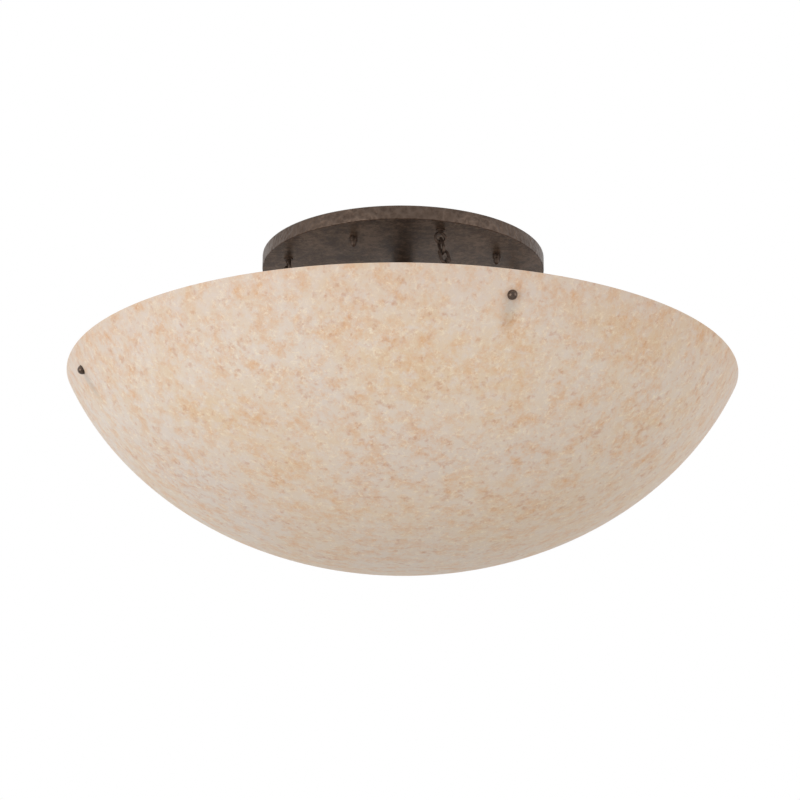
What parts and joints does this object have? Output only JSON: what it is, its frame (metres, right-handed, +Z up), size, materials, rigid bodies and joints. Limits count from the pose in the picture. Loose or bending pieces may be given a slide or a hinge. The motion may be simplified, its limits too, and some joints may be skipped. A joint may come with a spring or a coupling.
{
  "type": "semi flush ceiling light",
  "caption": "Semi flush ceiling light with a wide mottled glass bowl held by ball screws on a hidden spider, below a dark bronze canopy with chains.",
  "frame": {"origin": "middle of the canopy's top, in the plane of the ceiling, between the two junction-box screws", "axes": "+Z up, out of the ceiling's face into the ceiling; -Y towards the picture's viewer"},
  "size_m": [0.6099, 0.61, 0.2902],
  "materials": {
    "bronze_finish": "dark oil-rubbed bronze, semi-gloss; the canopy's side wall is hammered",
    "bowl_glass": "satin, mottled cream and tan, lit evenly from inside",
    "lamp_envelope": "frosted white",
    "lamp_cap_metal": "bright",
    "brass_contacts": "bright",
    "holder_porcelain": "glazed white porcelain",
    "soft_washers": "dark rubber",
    "zinc_steel": "zinc-plated",
    "green_screw": "green"
  },
  "bodies": {
    "root": {"arm_1": "bronze_finish", "arm_2": "bronze_finish", "arm_3": "bronze_finish", "arm_4": "bronze_finish", "arm_eyes": "bronze_finish", "arm_plate": "bronze_finish", "arm_rivets": "zinc_steel", "canopy_eyes": "bronze_finish", "canopy_studs": "zinc_steel", "cap_nuts": "bronze_finish", "ceiling_canopy": "bronze_finish", "chain_1": "bronze_finish", "chain_2": "bronze_finish", "chain_3": "bronze_finish", "chain_4": "bronze_finish", "cluster_can": "bronze_finish", "cluster_cover": "bronze_finish", "cluster_finial": "bronze_finish", "eye_nuts": "zinc_steel", "glass_bowl": "bowl_glass", "glass_pads": "soft_washers", "glass_washers": "soft_washers", "ground_screw": "green_screw", "holder_contacts": "brass_contacts", "holder_nipples": "zinc_steel", "lampholder_1": "holder_porcelain", "lampholder_2": "holder_porcelain", "lampholder_3": "holder_porcelain", "lampholder_4": "holder_porcelain", "mounting_plate": "zinc_steel", "screw_shell_1": "brass_contacts", "screw_shell_2": "brass_contacts", "screw_shell_3": "brass_contacts", "screw_shell_4": "brass_contacts", "stem_column": "bronze_finish", "stem_locknut": "zinc_steel", "stem_nipple": "zinc_steel", "stem_sleeve": "bronze_finish", "tab_nuts": "zinc_steel"},
    "ball_screw_1": {"ball_screw_1": "bronze_finish"},
    "ball_screw_2": {"ball_screw_2": "bronze_finish"},
    "ball_screw_3": {"ball_screw_3": "bronze_finish"},
    "ball_screw_4": {"ball_screw_4": "bronze_finish"},
    "lamp_1": {"lamp_cap_1": "lamp_cap_metal", "lamp_glass_1": "lamp_envelope"},
    "lamp_2": {"lamp_cap_2": "lamp_cap_metal", "lamp_glass_2": "lamp_envelope"},
    "lamp_3": {"lamp_cap_3": "lamp_cap_metal", "lamp_glass_3": "lamp_envelope"},
    "lamp_4": {"lamp_cap_4": "lamp_cap_metal", "lamp_glass_4": "lamp_envelope"}
  },
  "joints": [
    {"name": "ball_screw_1_turn", "type": "hinge", "parent": "root", "child": "ball_screw_1", "pos_m": [0.28075, 0.08798, -0.13979], "axis": [0.8172, 0.2561, -0.5163], "continuous": true},
    {"name": "ball_screw_2_turn", "type": "hinge", "parent": "root", "child": "ball_screw_2", "pos_m": [-0.08798, 0.28075, -0.13979], "axis": [-0.2561, 0.8172, -0.5163], "continuous": true},
    {"name": "ball_screw_3_turn", "type": "hinge", "parent": "root", "child": "ball_screw_3", "pos_m": [-0.28075, -0.08798, -0.13979], "axis": [-0.8172, -0.2561, -0.5163], "continuous": true},
    {"name": "ball_screw_4_turn", "type": "hinge", "parent": "root", "child": "ball_screw_4", "pos_m": [0.08798, -0.28075, -0.13979], "axis": [0.2561, -0.8172, -0.5163], "continuous": true},
    {"name": "lamp_1_turn", "type": "hinge", "parent": "root", "child": "lamp_1", "pos_m": [0.0358, 0.06848, -0.16271], "axis": [0.4475, 0.856, -0.2588], "continuous": true},
    {"name": "lamp_2_turn", "type": "hinge", "parent": "root", "child": "lamp_2", "pos_m": [-0.06848, 0.0358, -0.16271], "axis": [-0.856, 0.4475, -0.2588], "continuous": true},
    {"name": "lamp_3_turn", "type": "hinge", "parent": "root", "child": "lamp_3", "pos_m": [-0.0358, -0.06848, -0.16271], "axis": [-0.4475, -0.856, -0.2588], "continuous": true},
    {"name": "lamp_4_turn", "type": "hinge", "parent": "root", "child": "lamp_4", "pos_m": [0.06848, -0.0358, -0.16271], "axis": [0.856, -0.4475, -0.2588], "continuous": true}
  ]
}
